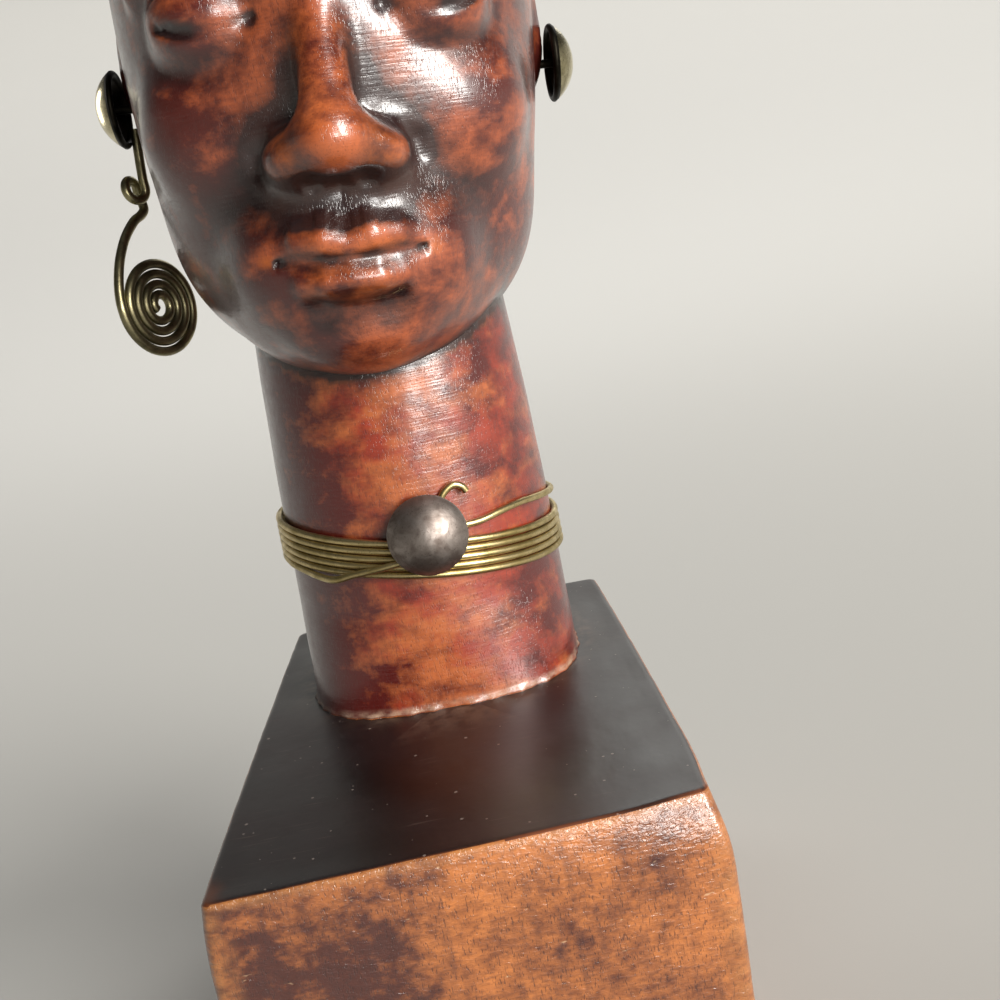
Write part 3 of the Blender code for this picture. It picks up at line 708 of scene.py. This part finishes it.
def domeProfile(nail, shankLength):
    # from the crown over the rim into the hollow and down the shank, the rim on z = 0
    rim, dome = nail["diameter"] / 2, nail["dome"]
    sphere = (rim ** 2 + dome ** 2) / (2 * dome)
    centre = dome - sphere
    inner = sphere - nail["wall"]
    roll = nail["rolledRim"]
    rimAngle = math.asin((rim - 0.3 * roll) / sphere)
    outside = [(sphere * math.sin(a), centre + sphere * math.cos(a)) for a in np.linspace(0, rimAngle, 22)]
    outside += [(rim - roll + roll * math.cos(a), roll * math.sin(a) - 0.1 * roll)
                for a in np.linspace(0.3, -math.pi, 12)]
    innerRim = math.asin((rim - 2 * roll) / inner)
    inside = [(inner * math.sin(a), centre + inner * math.cos(a)) for a in np.linspace(innerRim, 0.14, 12)]
    top = centre + math.sqrt(inner ** 2 - nail["shank"] ** 2)
    return outside + inside + [(nail["shank"], top), (nail["shank"], -shankLength), (0.0, -shankLength)]


def makeNail(name, nail, shankLength, matrix, materials, seed):
    bm = bmesh.new()
    verts = [bm.verts.new((x, 0.0, z)) for x, z in domeProfile(nail, shankLength)]
    edges = [bm.edges.new(pair) for pair in zip(verts[:-1], verts[1:])]
    bmesh.ops.spin(bm, geom=verts + edges, cent=(0, 0, 0), axis=(0, 0, 1), angle=math.tau, steps=72,
                   use_duplicate=False)
    bmesh.ops.remove_doubles(bm, verts=bm.verts, dist=0.002 * mm)
    bmesh.ops.recalc_face_normals(bm, faces=bm.faces)
    for vert in bm.verts:
        reach = vert.co.xy.length
        if reach > nail["shank"] * 2 or vert.co.z > nail["dome"] * 0.9:
            spot = noise.noise(vert.co / (1.9 * mm) + Vector((seed, seed, 0)))
            fine = noise.noise(vert.co / (0.7 * mm) + Vector((0, seed, seed)))
            vert.co -= vert.normal * nail["dent"] * (0.5 + 0.5 * spot + 0.3 * fine)
    # faces that look down, and on the studs the low rolled rim, take the near-black metal: painted shade
    for face in bm.faces:
        outside = face.normal.z > 0.05 and face.calc_center_median().z > nail["shadeBelow"]
        face.material_index = 0 if outside else 1
    mesh = bpy.data.meshes.new(name)
    bm.to_mesh(mesh)
    bm.free()
    mesh.transform(matrix)
    for material in materials:
        mesh.materials.append(material)
    mesh.shade_smooth()
    mesh.set_sharp_from_angle(angle=math.radians(40))
    return newObject(name, mesh)


def aim(point, outward):
    return Matrix.Translation(point) @ Vector(outward).to_track_quat("Z", "Y").to_matrix().to_4x4()


# Wire: a geometry node tree draws any path out into round wire

wire = {"diameter": 1.0 * mm, "pitch": 1.12 * mm, "turns": 6, "slope": 0.15, "pointsPerTurn": 90,
        "cadPointsPerTurn": 24, "hug": 0.03 * mm, "sides": 14, "handBend": 0.05 * mm}
earring = {"diameter": 1.36 * mm, "pitch": 1.5 * mm, "radius": 6.74 * mm, "eye": 0.95 * mm, "loop": 1.45 * mm,
           "loopDrop": 10.8 * mm, "drop": 27.3 * mm, "stemTop": 2.5 * mm, "stemBack": 2.0 * mm,
           "hang": 2.65 * mm, "sway": 0.54 * mm, "turn": math.radians(58), "pointsPerTurn": 60, "sides": 16,
           "handBend": 0.02 * mm,
           "bow": ((3.0, 14.9), (2.9, 13.8), (1.9, 13.0), (0.2, 12.2), (-2.4, 10.0), (-4.5, 7.3), (-5.9, 4.7),
                   (-6.8, 2.2))}

bendLength = 6 * mm


def makeWireTree():
    tree = bpy.data.node_groups.new("drawnWire", "GeometryNodeTree")
    for name, kind in (("Path", "NodeSocketGeometry"), ("Wire Radius", "NodeSocketFloat"),
                       ("Sides", "NodeSocketInt"), ("Hand Bend", "NodeSocketFloat"),
                       ("Bend Size", "NodeSocketFloat"), ("Material", "NodeSocketMaterial")):
        tree.interface.new_socket(name, in_out="INPUT", socket_type=kind)
    tree.interface.new_socket("Wire", in_out="OUTPUT", socket_type="NodeSocketGeometry")
    given = addNode(tree, "NodeGroupInput").outputs
    place = addNode(tree, "GeometryNodeInputPosition").outputs[0]
    waves = addNode(tree, "ShaderNodeTexNoise", {"Vector": place, "Scale": given["Bend Size"], "Detail": 1.0})
    centred = addNode(tree, "ShaderNodeVectorMath", {0: waves.outputs["Color"], 1: (0.5, 0.5, 0.5)},
                      operation="SUBTRACT")
    shift = addNode(tree, "ShaderNodeVectorMath", {0: centred.outputs[0], "Scale": given["Hand Bend"]},
                    operation="SCALE")
    bent = addNode(tree, "GeometryNodeSetPosition", {"Geometry": given["Path"], "Offset": shift.outputs[0]})
    profile = addNode(tree, "GeometryNodeCurvePrimitiveCircle", {"Resolution": given["Sides"],
                                                                "Radius": given["Wire Radius"]})
    drawn = addNode(tree, "GeometryNodeCurveToMesh", {"Curve": bent.outputs[0], "Fill Caps": True,
                                                      "Profile Curve": profile.outputs[0]})
    smooth = addNode(tree, "GeometryNodeSetShadeSmooth", {0: drawn.outputs[0]})
    real = addNode(tree, "GeometryNodeRealizeInstances", {0: smooth.outputs[0]})
    coated = addNode(tree, "GeometryNodeSetMaterial", {"Geometry": real.outputs[0],
                                                       "Material": given["Material"]})
    result = addNode(tree, "NodeGroupOutput")
    tree.links.new(coated.outputs[0], result.inputs[0])
    return tree


def makeWire(name, tree, points, sizes, metal):
    values = {"Wire Radius": sizes["diameter"] / 2, "Sides": sizes["sides"], "Hand Bend": sizes["handBend"],
              "Bend Size": 1 / bendLength, "Material": metal}
    curve = bpy.data.curves.new(name, "CURVE")
    curve.dimensions = "3D"
    spline = curve.splines.new("POLY")
    spline.points.add(len(points) - 1)
    spline.points.foreach_set("co", np.column_stack((np.array(points), np.ones(len(points)))).ravel())
    path = newObject(name + "Path", curve)
    draw = path.modifiers.new("draw", "NODES")
    draw.node_group = tree
    for socket in tree.interface.items_tree:
        if socket.in_out == "INPUT" and socket.name in values:
            draw[socket.identifier] = values[socket.name]
    mesh = bpy.data.meshes.new_from_object(path.evaluated_get(bpy.context.evaluated_depsgraph_get()))
    bpy.data.objects.remove(path)
    mesh.name = name
    mesh.set_sharp_from_angle(angle=math.radians(50))
    return newObject(name, mesh)


def collarPoint(turn, drop, lift=0.0):
    # turns are counted from the front to the viewer's right
    angle = turn * math.tau
    radius = neckRadius(tack["aboveBlock"] - drop) + wire["diameter"] / 2 + wire["hug"] + lift
    x, y = radius * math.sin(angle), -radius * math.cos(angle)
    z = tack["aboveBlock"] + wire["slope"] * (tack["x"] - x) - drop
    return Vector((bust["neckX"] + x, neckY + y, blockTop + z))


def collarPath():
    reach = neckRadius(tack["aboveBlock"]) + wire["diameter"] / 2
    tailMm = ((7.9, -5.3, 0.4), (7.4, -6.0, 0.4), (6.4, -6.3, 0.3), (5.4, -5.8, 0.2), (4.5, -4.8, 0.1),
              (3.7, -3.1, 0.0), (3.5, -1.5, 0.0), (4.3, -0.6, 0.0))
    rough = [collarPoint(x * mm / reach / math.tau, drop * mm, lift * mm) for x, drop, lift in tailMm]
    topDrop = tack["shank"] + wire["diameter"] / 2 + touchGap + 0.1 * mm
    count, turns, pitch = wire["pointsPerTurn"], wire["turns"], wire["pitch"]
    perCad = count / wire["cadPointsPerTurn"]
    points = smoothThrough(rough + [collarTurn(t / count, topDrop, pitch) for t in (6, 9, 12)], 6)
    points = points[:-6]
    lastStep = int((turns * wire["cadPointsPerTurn"] - 4) * perCad)
    points += [collarTurn(step / count, topDrop, pitch) for step in range(10, lastStep + 1)]
    packed = topDrop + pitch * (turns - 1.15)
    lifted = wire["diameter"] + 0.1 * mm
    crossing = [points[-4], points[-1]]
    crossing += [collarPoint(turns - 0.10 + 0.09 * s, packed - 3.4 * mm * s, lifted)
                 for s in (0.0, 0.35, 0.7, 1.0)]
    return points[:-4] + smoothThrough(crossing, 7)


def collarTurn(turn, topDrop, pitch):
    rise = float(ease((turn - 0.01) / 0.13))
    settle = float(ease((turn - 0.12) / 0.33))
    loose = 0.3 * mm - 2.6 * mm * rise
    return collarPoint(turn, loose + (topDrop + pitch * (turn - 1) - loose) * settle)


def smoothThrough(points, steps):
    # a smooth curve through every point
    points = [Vector(p) for p in points]
    ends = [points[0] * 2 - points[1]] + points + [points[-1] * 2 - points[-2]]
    made = []
    for a, b, c, d in zip(ends, ends[1:], ends[2:], ends[3:]):
        for step in range(steps):
            t = step / steps
            made.append(0.5 * (2 * b + (c - a) * t + (2 * a - 5 * b + 4 * c - d) * t ** 2
                               + (3 * b - a - 3 * c + d) * t ** 3))
    return made + [points[-1]]


def studPlace(side):
    # rim centre and outward direction, from the carved surface of the ear
    ear = bust["earPlace"]
    start = np.array([[0.0, ear[1], ear[2]]])
    skin = surfaceAlong(start, np.array([[float(side), 0.0, 0.0]]), 0.5)[0]
    matrix = headMatrix()
    outward = (matrix.to_3x3() @ Vector((side, 0.0, 0.0))).normalized()
    return matrix @ Vector(skin) + outward * stud["standoff"], outward


def earringPath():
    # stem under the stud, a small loop, a bow to the front and the flat coil, in one upright plane
    rim, outward = studPlace(-1)
    turn, drop = earring["turn"], earring["drop"]
    across, away = Vector((math.cos(turn), math.sin(turn), 0)), Vector((-math.sin(turn), math.cos(turn), 0))
    up = Vector((0, 0, 1))
    stem = rim + Vector((earring["diameter"] / 2 + touchGap + 0.1 * mm, earring["stemBack"], 0))
    hung = stem - Vector((earring["sway"], 0, 0))
    loop = hung - across * earring["loop"] - up * earring["loopDrop"]
    eye = hung - across * earring["hang"] - up * drop
    rough = [stem - up * earring["stemTop"], loop + across * earring["loop"] + up * 2 * mm]
    loopStep = earring["diameter"] + touchGap
    for step in range(11):
        angle = -step * math.tau / 10
        rough.append(loop + earring["loop"] * (across * math.cos(angle) + up * math.sin(angle))
                     + away * loopStep * step / 10)
    for s, rise in earring["bow"]:
        rough.append(eye + across * s * mm + up * rise * mm + away * loopStep * rise / earring["bow"][0][1])
    count = earring["pointsPerTurn"]
    turns = (earring["radius"] - earring["eye"]) / earring["pitch"]
    coil = []
    for step in range(-count // 4, int(turns * count) + 1):
        angle = -math.pi / 2 + step * math.tau / count
        radius = earring["radius"] - earring["pitch"] * step / count
        coil.append(eye + radius * (across * math.cos(angle) + up * math.sin(angle)))
    return smoothThrough(rough + [coil[0], coil[4]], 5)[:-6] + coil


# Camera, floor and light

camera = {"place": (7.7 * mm, -144.3 * mm, 110.6 * mm), "yaw": 1.58, "pitch": -13.1, "roll": -10.3,
          "focalPixels": 1072, "sensor": 36.0}


def makeCamera():
    yaw, pitch, roll = (math.radians(camera[name]) for name in ("yaw", "pitch", "roll"))
    forward = Vector((math.sin(yaw) * math.cos(pitch), math.cos(yaw) * math.cos(pitch), math.sin(pitch)))
    level = Vector((math.cos(yaw), -math.sin(yaw), 0))
    upright = level.cross(forward)
    right = level * math.cos(roll) + upright * math.sin(roll)
    up = -level * math.sin(roll) + upright * math.cos(roll)
    data = bpy.data.cameras.new("viewpoint")
    data.sensor_width = camera["sensor"]
    data.lens = camera["sensor"] * camera["focalPixels"] / photoSide
    data.clip_start = 5 * mm
    thing = newObject("viewpoint", data)
    turn = Matrix((right, up, -forward)).transposed().to_4x4()
    thing.matrix_world = Matrix.Translation(camera["place"]) @ turn
    scene.camera = thing


# what each light falls on
lit = {name: bpy.data.collections.new(name) for name in ("pieces", "studs", "stage")}

studio = {"floorRadius": 0.6, "wallRadius": 2.1, "bendHeight": 0.65, "wallHeight": 2.4, "paint": "#b1afaa",
          "upperPaint": "#4b4b4a", "paintFades": (0.64, 1.05), "sky": "#f0f1f2", "skyStrength": 0.12}


def makeStage():
    # a pale round cove: flat floor that curves up into a wall all the way round
    rings = []
    angle = np.linspace(0, math.tau, 96, endpoint=False)
    profile = [(0.02, 0.0), (studio["floorRadius"], 0.0)]
    bend = studio["wallRadius"] - studio["floorRadius"]
    profile += [(studio["floorRadius"] + bend * math.sin(a), studio["bendHeight"] * (1 - math.cos(a)))
                for a in np.linspace(0, math.pi / 2, 14)[1:]]
    profile += [(studio["wallRadius"], z)
                for z in np.linspace(studio["bendHeight"], studio["wallHeight"], 8)[1:]]
    bm = bmesh.new()
    for reach, height in profile:
        rings.append([bm.verts.new((reach * math.cos(a), reach * math.sin(a), height)) for a in angle])
    bm.faces.new(rings[0])
    for low, high in zip(rings[:-1], rings[1:]):
        for i in range(len(angle)):
            j = (i + 1) % len(angle)
            bm.faces.new((low[i], low[j], high[j], high[i]))
    mesh = bpy.data.meshes.new("cove")
    bm.to_mesh(mesh)
    bm.free()
    mesh.shade_smooth()
    material, tree, shader = newMaterial("paintedCove")
    shader.inputs["Roughness"].default_value = 0.9
    spot = addNode(tree, "ShaderNodeTexCoord")
    height = addNode(tree, "ShaderNodeSeparateXYZ", {0: spot.outputs["Object"]}).outputs[2]
    low, high = studio["paintFades"]
    fade = addNode(tree, "ShaderNodeMapRange", {0: height, 1: low, 2: high}, interpolation_type="SMOOTHSTEP")
    paint = mixColour(tree, fade.outputs[0], hexColour(studio["paint"]), hexColour(studio["upperPaint"]))
    tree.links.new(paint, shader.inputs["Base Color"])
    mesh.materials.append(material)
    cove = newObject("cove", mesh)
    lit["stage"].objects.link(cove)
    world = bpy.data.worlds.new("sky")
    world.use_nodes = True
    background = world.node_tree.nodes["Background"]
    background.inputs["Color"].default_value = hexColour(studio["sky"])
    background.inputs["Strength"].default_value = studio["skyStrength"]
    scene.world = world


# azimuth from the front to the viewer's right, in degrees; metres and watts
softboxes = {
    "windowRight": {"azimuth": 40, "elevation": 19, "distance": 1.5, "size": (0.42, 1.15), "power": 42.0,
                    "colour": "#fffcf7", "target": (0, 0, 0.1), "lights": "pieces"},
    "lowFront": {"azimuth": 18, "elevation": 6, "distance": 1.4, "size": (0.3, 0.3), "power": 6.0,
                 "colour": "#fffdfa", "target": (0, 0, 0.1), "lights": "pieces"},
    "leftGlint": {"azimuth": -122, "elevation": 12, "distance": 1.4, "size": (0.35, 0.8), "power": 9.0,
                  "colour": "#fffaf0", "target": (0, 0, 0.1), "lights": "studs"},
    "backRight": {"azimuth": 160, "elevation": 31, "distance": 1.6, "size": (0.7, 0.5), "power": 3.2,
                  "colour": "#fffdf8", "target": (0, 0, 0.1), "lights": "pieces"},
    "overheadRight": {"azimuth": 60, "elevation": 52, "distance": 1.9, "size": (1.1, 1.1), "power": 34.0,
                      "colour": "#fffdf8", "target": (0, 0, 0), "lights": "stage"},
    "backdrop": {"azimuth": 4, "elevation": 46, "distance": 1.3, "size": (2.4, 0.8), "power": 40.0,
                 "colour": "#ffffff", "target": (0.1, 1.7, 0.5), "lights": "stage"},
}


def makeLights():
    for name, box in softboxes.items():
        azimuth, elevation = math.radians(box["azimuth"]), math.radians(box["elevation"])
        away = Vector((math.sin(azimuth) * math.cos(elevation), -math.cos(azimuth) * math.cos(elevation),
                       math.sin(elevation)))
        data = bpy.data.lights.new(name, "AREA")
        data.shape = "RECTANGLE"
        data.size, data.size_y = box["size"]
        data.energy = box["power"]
        data.color = hexColour(box["colour"])[:3]
        light = newObject(name, data)
        light.location = Vector(box["target"]) + away * box["distance"]
        light.rotation_euler = (-away).to_track_quat("-Z", "Y").to_euler()
        light.visible_camera = False
        light.light_linking.receiver_collection = lit[box["lights"]]


# Assembly

def place(thing, node, slotName):
    lit["pieces"].objects.link(thing)
    if slotName == "brass_nail":
        lit["studs"].objects.link(thing)
    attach(thing, "root")
    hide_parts(node)


scene.view_settings.view_transform = "Standard"
makeCamera()
makeStage()
makeLights()
print("camera, cove and lights ready")

place(makeBust(), "bust", "carved_wood")
print("bust carved")

brassWire = makeMetal("brassDrawnTarnished", wireLook)
brassCoil = makeMetal("brassBentDull", coilLook)
brassStud = makeMetal("brassPressedDulled", studLook)
shadedUndersideMetal = makeMetal("nailUndersidePaintedShade", undersideShadeLook)
darkSteel = makeMetal("steelPressedDarkened", tackLook)

cadSag = 1 - math.cos(math.pi / wire["cadPointsPerTurn"])
cadReach = (neckRadius(tack["aboveBlock"]) + wire["diameter"] / 2 + touchGap) / (1 - cadSag)
rimReach = cadReach + wire["diameter"] / 2 + 0.7 * mm
tackPlace = Vector((bust["neckX"] + tack["x"], neckY - rimReach, blockTop + tack["aboveBlock"]))
tackOut = (0.0, -math.cos(tack["lean"]), math.sin(tack["lean"]))
tackShank = rimReach - neckRadius(tack["aboveBlock"]) - touchGap
place(makeNail("collarTack", tack, tackShank, aim(tackPlace, tackOut), (darkSteel, shadedUndersideMetal), 2.0),
      "collar_tack", "dark_nail")
for name, node, side in (("earStudLeft", "ear_stud_left", -1), ("earStudRight", "ear_stud_right", 1)):
    point, outward = studPlace(side)
    nail = makeNail(name, stud, stud["standoff"] + 0.4 * mm, aim(point, outward), (brassStud, shadedUndersideMetal),
                    5.0 + side)
    place(nail, node, "brass_nail")
print("nails set")

wireTree = makeWireTree()
place(makeWire("collarWire", wireTree, collarPath(), wire, brassWire), "collar_wire", "brass_wire")
place(makeWire("spiralEarring", wireTree, earringPath(), earring, brassCoil), "spiral_earring", "brass_wire")
print("collar and earring drawn")
